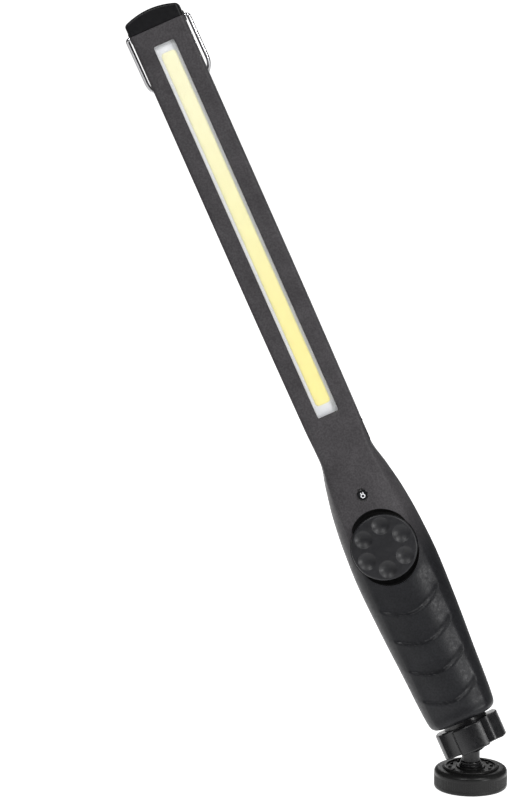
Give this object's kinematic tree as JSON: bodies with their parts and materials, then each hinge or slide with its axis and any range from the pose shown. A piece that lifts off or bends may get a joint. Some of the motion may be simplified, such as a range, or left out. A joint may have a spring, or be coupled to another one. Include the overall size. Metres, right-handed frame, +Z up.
{
  "type": "led light wand",
  "caption": "Slim rechargeable LED light wand: long lit window in a straight head, ribbed grip with dimmer dial, folding wire hook, ball joint with star collar, magnetic foot.",
  "frame": {"origin": "centre of the magnetic foot's flat face", "axes": "+Z up out of the foot along the ball stud; -Y is the side the lit window faces; the wand leans about 26 degrees towards -X and slightly +Y"},
  "size_m": [0.1666, 0.0835, 0.3387],
  "materials": {
    "shell_black": "fine matt spark texture",
    "cap_black": "satin",
    "dial_black": "satin",
    "collar_black": "glossy",
    "foot_black": "satin black over fine knurling",
    "rubber_black": "matt",
    "nylon_white": "natural nylon",
    "wire_chrome": "polished",
    "bush_black": "moulded",
    "lens_clear": "clear acrylic",
    "phosphor": "yellow silicone phosphor",
    "board_white": "white solder mask on aluminium",
    "aluminium": "extruded",
    "steel": "turned, zinc plated",
    "stud_black": "black oxide",
    "magnet_nickel": "nickel plated",
    "cell_wrap": "shrink film",
    "lead_red": "silicone wire jacket",
    "board_green": "solder mask",
    "chip_black": "moulded",
    "indicator_smoke": "smoked, with a white bulb mark"
  },
  "bodies": {
    "base": {"base_cup": "foot_black", "base_top_plate": "foot_black", "steel_pot": "steel", "ring_magnet": "magnet_nickel", "rubber_foot": "rubber_black"},
    "stud": {"ball_stud": "stud_black", "stud_washer": "stud_black", "stud_screw": "steel", "screw_washer": "steel"},
    "seat": {"ball_seat": "nylon_white"},
    "lamp": {"socket_boss": "collar_black", "front_housing": "shell_black", "rear_housing": "shell_black", "end_cap": "cap_black", "hook_bushes": "bush_black", "window_lens": "lens_clear", "cob_board": "board_white", "led_strip": "phosphor", "heat_sink": "aluminium", "led_leads": "lead_red", "battery_cell": "cell_wrap", "battery_tabs": "magnet_nickel", "battery_lead": "lead_red", "main_board": "board_green", "board_parts": "chip_black", "dimmer_pot": "steel", "micro_usb_socket": "steel", "indicator_lens": "indicator_smoke", "indicator_led": "board_white", "housing_screws": "steel"},
    "collar": {"lock_collar": "collar_black"},
    "dial": {"dial": "dial_black", "dial_shaft": "steel"},
    "hook": {"hook": "wire_chrome"},
    "port_cover": {"port_cover": "rubber_black"}
  },
  "joints": [
    {"name": "foot_swivel", "type": "hinge", "parent": "base", "child": "stud", "pos_m": [0, 0, 0.012], "axis": [0, 0, 1], "continuous": true},
    {"name": "ball_tilt", "type": "hinge", "parent": "stud", "child": "seat", "pos_m": [0, 0, 0.0238], "axis": [-0.3795, -0.9252, 0], "range_deg": [-58, 5.8]},
    {"name": "wand_twist", "type": "hinge", "parent": "seat", "child": "lamp", "pos_m": [0, 0, 0.0238], "axis": [-0.4056, 0.1663, 0.8988], "continuous": true},
    {"name": "collar_turn", "type": "hinge", "parent": "lamp", "child": "collar", "pos_m": [0, 0, 0.0238], "axis": [0.4056, -0.1663, -0.8988], "range_deg": [0, 270]},
    {"name": "dial_turn", "type": "hinge", "parent": "lamp", "child": "dial", "pos_m": [-0.03839, 0.00047, 0.10808], "axis": [-0.0212, -0.9847, 0.1727], "range_deg": [-270, 0]},
    {"name": "hook_swing", "type": "hinge", "parent": "lamp", "child": "hook", "pos_m": [-0.1367, 0.05905, 0.32636], "axis": [0.9138, 0.051, 0.4029], "range_deg": [0, 180]},
    {"name": "port_cover_open", "type": "hinge", "parent": "lamp", "child": "port_cover", "pos_m": [-0.04405, 0.01885, 0.15197], "axis": [0.0212, 0.9847, -0.1727], "range_deg": [0, 110]}
  ]
}
